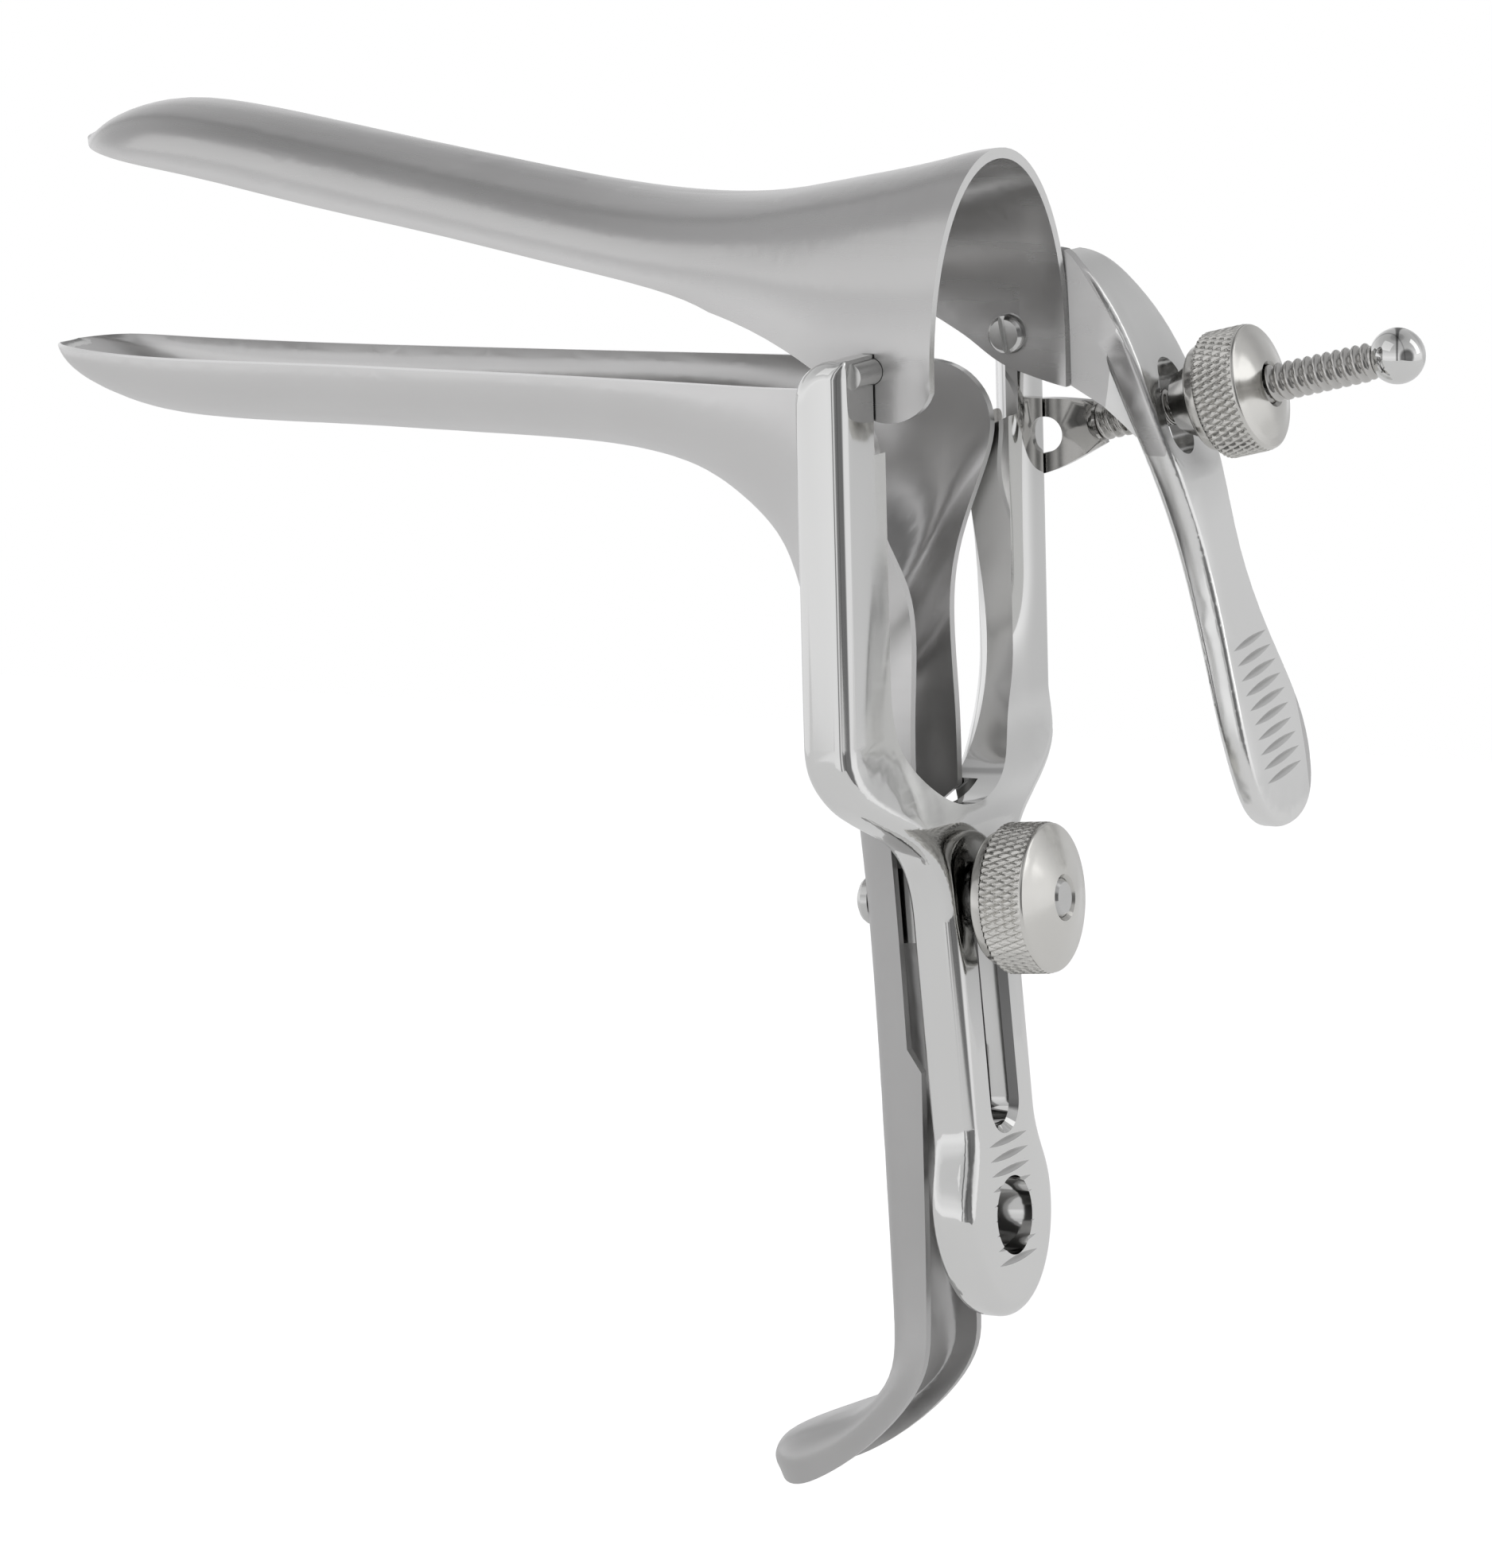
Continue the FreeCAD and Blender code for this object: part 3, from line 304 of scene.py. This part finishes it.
def faces_between(tree, place, bands):
    """One where every band holds: each is (coordinate, direction, low, high), in millimetres for a position."""
    mask = None
    for coordinate, axis, low, high in bands:
        scale = MM if coordinate == "Object" else 1.0
        value = along_axis(tree, place.outputs[coordinate], axis)
        inside = math_node(tree, "MULTIPLY", math_node(tree, "GREATER_THAN", value, low * scale),
                           math_node(tree, "LESS_THAN", value, high * scale))
        mask = inside if mask is None else math_node(tree, "MULTIPLY", mask, inside)
    return mask


def total_height(tree, parts):
    """The sum of several heights."""
    height = parts[0]
    for part in parts[1:]:
        height = math_node(tree, "ADD", height, part)
    return height


def scaled(tree, colour, factor):
    """A colour made darker by a socket's number."""
    node = tree.nodes.new("ShaderNodeVectorMath")
    node.operation = "SCALE"
    tree.links.new(colour, node.inputs["Vector"])
    tree.links.new(factor, node.inputs["Scale"])
    return node.outputs["Vector"]


def crown(tree, place, axis, centre, bend, low, high):
    """Height in metres of faces polished slightly round about a line; it fades out from high down to low."""
    off = math_node(tree, "SUBTRACT", along_axis(tree, place.outputs["Object"], axis), centre * MM)
    rise = math_node(tree, "MULTIPLY", math_node(tree, "MULTIPLY", off, off), -bend)
    fade = tree.nodes.new("ShaderNodeMapRange")
    fade.interpolation_type = "SMOOTHSTEP"
    fade.inputs["From Min"].default_value = low * MM
    fade.inputs["From Max"].default_value = high * MM
    tree.links.new(along_axis(tree, place.outputs["Object"], (0, 0, 1)), fade.inputs["Value"])
    return math_node(tree, "MULTIPLY", rise, fade.outputs["Result"])


def waves(tree, place, scale, height):
    """Height in metres of the slow waves that hand polishing leaves."""
    stretch = tree.nodes.new("ShaderNodeMapping")
    stretch.inputs["Scale"].default_value = scale
    tree.links.new(place.outputs["Object"], stretch.inputs["Vector"])
    noise = tree.nodes.new("ShaderNodeTexNoise")
    noise.inputs["Scale"].default_value = 1.0
    noise.inputs["Detail"].default_value = 1.0
    tree.links.new(stretch.outputs["Vector"], noise.inputs["Vector"])
    return math_node(tree, "MULTIPLY", noise.outputs["Fac"], height)


def steel(name, tone, roughness, streaks, bump=0.04, spread=0.05, cloud=0.03, rims=(), depth=0.45, painted_shade_below=0.0,
          relief_parts=None):
    """Stainless steel with procedural brushing.

    streaks is the scale of the brushing noise along X, Y and Z, spread how far the roughness strays with it and
    cloud how far the tone does. rims are the polished faces, which also get a lighter tone as a painted highlight,
    depth is how much painted shade darkens the hollows, dull is how much painted shade darkens the piece towards
    the bottom, below its STEM_LEVELS, and relief_parts gives the heights of its slow waves.
    """
    material = bpy.data.materials.new(name)
    material.use_nodes = True
    tree = material.node_tree
    shader = tree.nodes["Principled BSDF"]
    shader.inputs["Metallic"].default_value = 1.0
    place = tree.nodes.new("ShaderNodeTexCoord")
    stretch = tree.nodes.new("ShaderNodeMapping")
    stretch.inputs["Scale"].default_value = streaks
    tree.links.new(place.outputs["Object"], stretch.inputs["Vector"])
    brushing = tree.nodes.new("ShaderNodeTexNoise")
    brushing.inputs["Scale"].default_value = 1.0
    brushing.inputs["Detail"].default_value = 3.0
    brushing.inputs["Roughness"].default_value = 0.5
    tree.links.new(stretch.outputs["Vector"], brushing.inputs["Vector"])
    clouds = tree.nodes.new("ShaderNodeTexNoise")
    clouds.inputs["Scale"].default_value = 45.0
    clouds.inputs["Detail"].default_value = 2.0
    tree.links.new(place.outputs["Object"], clouds.inputs["Vector"])
    shades = tree.nodes.new("ShaderNodeValToRGB")
    shades.color_ramp.elements[0].position = 0.3
    shades.color_ramp.elements[0].color = [c * (1 - cloud) for c in tone] + [1]
    shades.color_ramp.elements[1].position = 0.7
    shades.color_ramp.elements[1].color = [min(1, c * (1 + cloud)) for c in tone] + [1]
    tree.links.new(clouds.outputs["Fac"], shades.inputs["Fac"])
    rough = tree.nodes.new("ShaderNodeMapRange")
    rough.inputs["From Min"].default_value = 0.3
    rough.inputs["From Max"].default_value = 0.7
    rough.inputs["To Min"].default_value = max(0.02, roughness - spread)
    rough.inputs["To Max"].default_value = roughness + spread
    tree.links.new(brushing.outputs["Fac"], rough.inputs["Value"])
    colour, gloss = shades.outputs["Color"], rough.outputs["Result"]
    mask = None
    for bands in rims:
        part = faces_between(tree, place, bands)
        mask = part if mask is None else math_node(tree, "MAXIMUM", mask, part)
    # Polished faces: a real lower roughness, and a lighter tone that is a painted highlight
    if mask is not None:
        rim_sheen = tree.nodes.new("ShaderNodeMix")
        rim_sheen.data_type = "RGBA"
        rim_sheen.inputs["B"].default_value = RIM_SHEEN_TONE
        tree.links.new(mask, rim_sheen.inputs["Factor"])
        tree.links.new(colour, rim_sheen.inputs["A"])
        colour = rim_sheen.outputs["Result"]
        gloss = math_node(tree, "SUBTRACT", gloss, math_node(tree, "MULTIPLY", mask, roughness - RIM_ROUGHNESS))
    # Painted shade: the colour is darkened where ambient occlusion finds hollows, creases and gaps between parts
    hollow_shade = tree.nodes.new("ShaderNodeAmbientOcclusion")
    hollow_shade.samples = 8
    hollow_shade.inputs["Distance"].default_value = HOLLOW_SHADE_REACH
    # Painted shade: the colour grows darker towards the bottom of the piece, below STEM_LEVELS
    if painted_shade_below:
        shade_fall = tree.nodes.new("ShaderNodeMapRange")
        shade_fall.inputs["From Min"].default_value = STEM_LEVELS[0] * MM
        shade_fall.inputs["From Max"].default_value = STEM_LEVELS[1] * MM
        shade_fall.inputs["To Min"].default_value = 1 - painted_shade_below
        tree.links.new(along_axis(tree, place.outputs["Object"], (0, 0, 1)), shade_fall.inputs["Value"])
        colour = scaled(tree, colour, shade_fall.outputs["Result"])
    tree.links.new(colour, hollow_shade.inputs["Color"])
    painted_shade = tree.nodes.new("ShaderNodeMapRange")
    painted_shade.inputs["To Min"].default_value = 1 - depth
    tree.links.new(hollow_shade.outputs["AO"], painted_shade.inputs["Value"])
    tree.links.new(scaled(tree, colour, painted_shade.outputs["Result"]), shader.inputs["Base Color"])
    tree.links.new(gloss, shader.inputs["Roughness"])
    relief = tree.nodes.new("ShaderNodeBump")
    relief.inputs["Strength"].default_value = bump
    relief.inputs["Distance"].default_value = 0.0002
    tree.links.new(brushing.outputs["Fac"], relief.inputs["Height"])
    if relief_parts:
        form = tree.nodes.new("ShaderNodeBump")
        form.inputs["Strength"].default_value = 1.0
        form.inputs["Distance"].default_value = 1.0
        tree.links.new(total_height(tree, relief_parts(tree, place)), form.inputs["Height"])
        tree.links.new(form.outputs["Normal"], relief.inputs["Normal"])
    tree.links.new(relief.outputs["Normal"], shader.inputs["Normal"])
    return material


def dress(piece, material):
    piece.data.materials.clear()
    piece.data.materials.append(material)


# Faces of the blades that are polished, with a lighter tone as a painted highlight: the thin edges and the thumb
# lever
OPENING = math.radians(13.3)
CLOSED_UP = (math.sin(OPENING), 0, math.cos(OPENING))
upper_rims = [
    [("Object", CLOSED_UP, -8, 1.3), ("Normal", CLOSED_UP, -1.01, -0.85), ("Object", (1, 0, 0), -130, -9)],
    [("Normal", (1, 0, 0), 0.985, 1.01), ("Object", (0, 0, 1), -8, 30), ("Object", (1, 0, 0), 4, 8.6),
     ("Object", (0, 1, 0), -19.2, 19.2)],
]
lower_rims = [
    [("Object", (0, 0, 1), -4.2, -1.5), ("Normal", (0, 0, 1), 0.85, 1.01)],
]
lever_faces = [[("Object", (0, 1, 0), 21, 40), ("Object", (1, 0, 0), 3, 40)]]


def yoke_relief(tree, place):
    far_prong = crown(tree, place, (0, 1, 0), 24.4, 25.0, -42, -28)
    return [
        crown(tree, place, (1, 0, 0), -1.0, 7.0, -60, -36),
        math_node(tree, "MULTIPLY", far_prong, faces_between(tree, place, [("Object", (0, 1, 0), 15, 40)])),
        waves(tree, place, (85, 85, 14), 0.00035),
    ]


def blade_relief(tree, place):
    return [waves(tree, place, (14, 60, 60), 0.00012)]


BRUSHED_ALONG = (40, 420, 420)
satin_upper = steel("satin_upper", (0.62, 0.615, 0.61), 0.26, BRUSHED_ALONG, bump=0.02, spread=0.03, cloud=0.02,
                    rims=upper_rims + lever_faces, depth=0.4, relief_parts=blade_relief)
satin_lower = steel("satin_lower", (0.72, 0.715, 0.71), 0.31, BRUSHED_ALONG, bump=0.02, spread=0.03, cloud=0.02,
                    rims=lower_rims, depth=0.2, painted_shade_below=0.3, relief_parts=blade_relief)
polished_yoke = steel("polished_yoke", (0.78, 0.78, 0.77), 0.07, (300, 300, 40), bump=0.008, spread=0.015, cloud=0.02,
                      relief_parts=yoke_relief)
polished_screw = steel("polished_screw", (0.64, 0.63, 0.61), 0.13, (500, 500, 500), bump=0.02, spread=0.03)
mirror_ball = steel("mirror_ball", (0.76, 0.76, 0.75), 0.05, (300, 300, 300), bump=0.005, spread=0.02, cloud=0.02)
knurl_steel = steel("knurl_steel", (0.72, 0.71, 0.68), 0.18, (500, 500, 500), bump=0.03, cloud=0.04, depth=0.55)
stud_steel = steel("stud_steel", (0.68, 0.68, 0.67), 0.16, (400, 400, 400), bump=0.02, spread=0.04)
pin_steel = steel("pin_steel", (0.68, 0.68, 0.67), 0.15, (400, 400, 400), bump=0.02, spread=0.04)

finishes = {
    "yoke": polished_yoke, "upper_blade": satin_upper, "lower_blade": satin_lower,
    "near_pivot_screw": pin_steel, "far_pivot_screw": pin_steel, "anchor_pin": pin_steel,
    "screw_end_ball": mirror_ball, "slide_stud": stud_steel, "slide_block": stud_steel,
    "adjusting_screw": polished_screw, "adjusting_nut": knurl_steel, "slide_nut": knurl_steel,
}
for node, material in finishes.items():
    dress(nodes[node], material)
    smooth_node(nodes[node])

# Adjusting screw: the eye comes from the frame, the threaded rod is new
eye = cut_copy("screw_eye", "adjusting_screw", (ROD_START + ROD_OUT * (THREAD_START + 0.6)) * MM, ROD_OUT)
dress(eye, polished_screw)
rod = threaded_rod("screw_rod", ROD_START, ROD_OUT, THREAD_START, THREAD_END, ROD_RADIUS, THREAD_PITCH, THREAD_DEPTH)
dress(rod, polished_screw)
neck = turned_rings("screw_neck", ROD_START, ROD_OUT, [(THREAD_END - 0.5, 0.02), (THREAD_END - 0.5, 1.5),
                                                      (THREAD_END + 1.3, 1.5), (THREAD_END + 1.3, 0.02)], 32)
tidy_normals(neck)
dress(neck, polished_screw)
for piece in (eye, rod, neck):
    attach(piece, "adjusting_screw")
    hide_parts("adjusting_screw")

# Knurled nuts
adjusting_nut = knurled_nut("adjusting_nut_knurled", ROD_NUT, ROD_START, ROD_OUT, ROD_RADIUS + BORE_GAP)
dress(adjusting_nut, knurl_steel)
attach(adjusting_nut, "adjusting_nut")
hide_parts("adjusting_nut")
slide_nut = knurled_nut("slide_nut_knurled", SLIDE_NUT, STUD_POINT, HANDLE_OUT, STUD_RADIUS + BORE_GAP)
dress(slide_nut, knurl_steel)
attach(slide_nut, "slide_nut")
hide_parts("slide_nut")


# Floor, world and lights
def is_seen(tree):
    """The light path's node, and one where a ray comes from the camera or through glass."""
    rays = tree.nodes.new("ShaderNodeLightPath")
    return rays, math_node(tree, "MAXIMUM", rays.outputs["Is Camera Ray"], rays.outputs["Is Transmission Ray"])


TABLE = 0.6
FLOOR_GAP = 0.0205  # clear of the lower blade when that is slid right down
FLOOR_GLOW = 0.68
MIRRORED_SHARE = 0.4
floor_level = cad_bounds[0][2] - FLOOR_GAP
floor = new_object("floor", [(-TABLE, -TABLE, floor_level), (TABLE, -TABLE, floor_level), (TABLE, TABLE, floor_level),
                             (-TABLE, TABLE, floor_level)], [(0, 1, 2, 3)], False)
floor_material = bpy.data.materials.new("floor")
floor_material.use_nodes = True
tree = floor_material.node_tree
matt = tree.nodes["Principled BSDF"]
matt.inputs["Base Color"].default_value = (0.8, 0.8, 0.8, 1)
matt.inputs["Roughness"].default_value = 0.9
matt.inputs["Specular IOR Level"].default_value = 0.0
glow = tree.nodes.new("ShaderNodeEmission")
rays, seen = is_seen(tree)
mirrored = math_node(tree, "MULTIPLY", rays.outputs["Is Glossy Ray"], MIRRORED_SHARE)
lifted = math_node(tree, "MAXIMUM", seen, mirrored)
tree.links.new(math_node(tree, "MULTIPLY", lifted, FLOOR_GLOW), glow.inputs["Strength"])
both = tree.nodes.new("ShaderNodeAddShader")
tree.links.new(matt.outputs["BSDF"], both.inputs[0])
tree.links.new(glow.outputs["Emission"], both.inputs[1])
tree.links.new(both.outputs["Shader"], tree.nodes["Material Output"].inputs["Surface"])
dress(floor, floor_material)

world = bpy.data.worlds.new("studio")
bpy.context.scene.world = world
world.use_nodes = True
tree = world.node_tree
studio = tree.nodes["Background"]
place = tree.nodes.new("ShaderNodeTexCoord")
split = tree.nodes.new("ShaderNodeSeparateXYZ")
tree.links.new(place.outputs["Generated"], split.inputs["Vector"])
height = tree.nodes.new("ShaderNodeMapRange")
height.inputs["From Min"].default_value = -1.0
height.inputs["From Max"].default_value = 1.0
tree.links.new(split.outputs["Z"], height.inputs["Value"])
tent = tree.nodes.new("ShaderNodeValToRGB")
tent.color_ramp.interpolation = "EASE"
steps = [(0.0, 0.6), (0.4, 0.85), (0.5, 0.95), (0.6, 0.82), (0.7, 0.66), (0.8, 0.55), (0.9, 0.5), (0.95, 0.46),
         (0.985, 0.3), (1.0, 0.22)]
ramp = tent.color_ramp
for position, value in steps[1:-1]:
    ramp.elements.new(position)
for element, (position, value) in zip(sorted(ramp.elements, key=lambda item: item.position), steps):
    element.position = position
    element.color = (value, value, value * 1.01, 1)
tree.links.new(height.outputs["Result"], tent.inputs["Fac"])
# Dark cards in the tent: direction, how dark, and the cosines at which a card starts and is full
cards = [((0.883, -0.469, 0.0), 0.8, 0.80, 0.93), ((0.2, 0.97, 0.1), 0.3, 0.82, 0.95)]
# Dark gaps between the tent's panels: the level direction across each, half its width, its soft edge, how dark
gaps = [((0.934, 0.358, 0.0), 0.035, 0.07, 0.72), ((0.6, 0.8, 0.0), 0.02, 0.05, 0.35)]
light = None
for direction, darkness, begin, full in cards:
    card = tree.nodes.new("ShaderNodeMapRange")
    card.interpolation_type = "SMOOTHSTEP"
    card.inputs["From Min"].default_value = begin
    card.inputs["From Max"].default_value = full
    card.inputs["To Min"].default_value = 1.0
    card.inputs["To Max"].default_value = 1.0 - darkness
    tree.links.new(along_axis(tree, place.outputs["Generated"], direction), card.inputs["Value"])
    light = card.outputs["Result"] if light is None else math_node(tree, "MULTIPLY", light, card.outputs["Result"])
for line, half, soft, darkness in gaps:
    gap = tree.nodes.new("ShaderNodeMapRange")
    gap.interpolation_type = "SMOOTHSTEP"
    gap.inputs["From Min"].default_value = half
    gap.inputs["From Max"].default_value = half + soft
    gap.inputs["To Min"].default_value = 1.0 - darkness
    gap.inputs["To Max"].default_value = 1.0
    across = math_node(tree, "ABSOLUTE", along_axis(tree, place.outputs["Generated"], line), 0)
    tree.links.new(across, gap.inputs["Value"])
    light = math_node(tree, "MULTIPLY", light, gap.outputs["Result"])
tree.links.new(light, studio.inputs["Strength"])
tree.links.new(tent.outputs["Color"], studio.inputs["Color"])
white = tree.nodes.new("ShaderNodeBackground")
white.inputs["Color"].default_value = (1, 1, 1, 1)
rays, seen = is_seen(tree)
choose = tree.nodes.new("ShaderNodeMixShader")
tree.links.new(seen, choose.inputs["Fac"])
tree.links.new(studio.outputs["Background"], choose.inputs[1])
tree.links.new(white.outputs["Background"], choose.inputs[2])
tree.links.new(choose.outputs["Shader"], tree.nodes["World Output"].inputs["Surface"])


def soft_light(name, place, aim, width, height, power):
    lamp = bpy.data.lights.new(name, "AREA")
    lamp.shape = "RECTANGLE"
    lamp.size = width
    lamp.size_y = height
    lamp.energy = power
    holder = bpy.data.objects.new(name, lamp)
    holder.location = place
    holder.rotation_euler = (Vector(aim) - Vector(place)).to_track_quat("-Z", "Y").to_euler()
    bpy.context.scene.collection.objects.link(holder)


soft_light("key", (-0.6, -0.9, 1.0), (-0.03, 0, -0.03), 1.2, 0.9, 1.0)
soft_light("rim", (0.9, 0.5, 0.5), (0, 0, -0.03), 0.4, 0.9, 0.8)

# Camera, at the photograph's angle
AZIMUTH = math.radians(27.5187)
ELEVATION = math.radians(9.9425)
ROLL = math.radians(-1.5445)
FOCAL = 183.46
VIEW_OFFSET = Vector((23.911, 50.636, 936.656))
right = Vector((math.cos(AZIMUTH), math.sin(AZIMUTH), 0))
forward = Vector((-math.sin(AZIMUTH) * math.cos(ELEVATION), math.cos(AZIMUTH) * math.cos(ELEVATION),
                  -math.sin(ELEVATION)))
up = right.cross(forward)
camera_x = right * math.cos(ROLL) + up * math.sin(ROLL)
camera_y = up * math.cos(ROLL) - right * math.sin(ROLL)
location = (Vector((1, 0, 0)) - camera_x * VIEW_OFFSET.x - camera_y * VIEW_OFFSET.y - forward * VIEW_OFFSET.z) * MM
lens = bpy.data.cameras.new("camera")
lens.sensor_fit = "VERTICAL"
lens.sensor_height = 36.0
lens.lens = FOCAL
lens.clip_start = 0.01
camera = bpy.data.objects.new("camera", lens)
camera.matrix_world = Matrix(((camera_x.x, camera_y.x, -forward.x, location.x),
                              (camera_x.y, camera_y.y, -forward.y, location.y),
                              (camera_x.z, camera_y.z, -forward.z, location.z),
                              (0, 0, 0, 1)))
bpy.context.scene.collection.objects.link(camera)
bpy.context.scene.camera = camera
bpy.context.scene.view_settings.view_transform = "Standard"
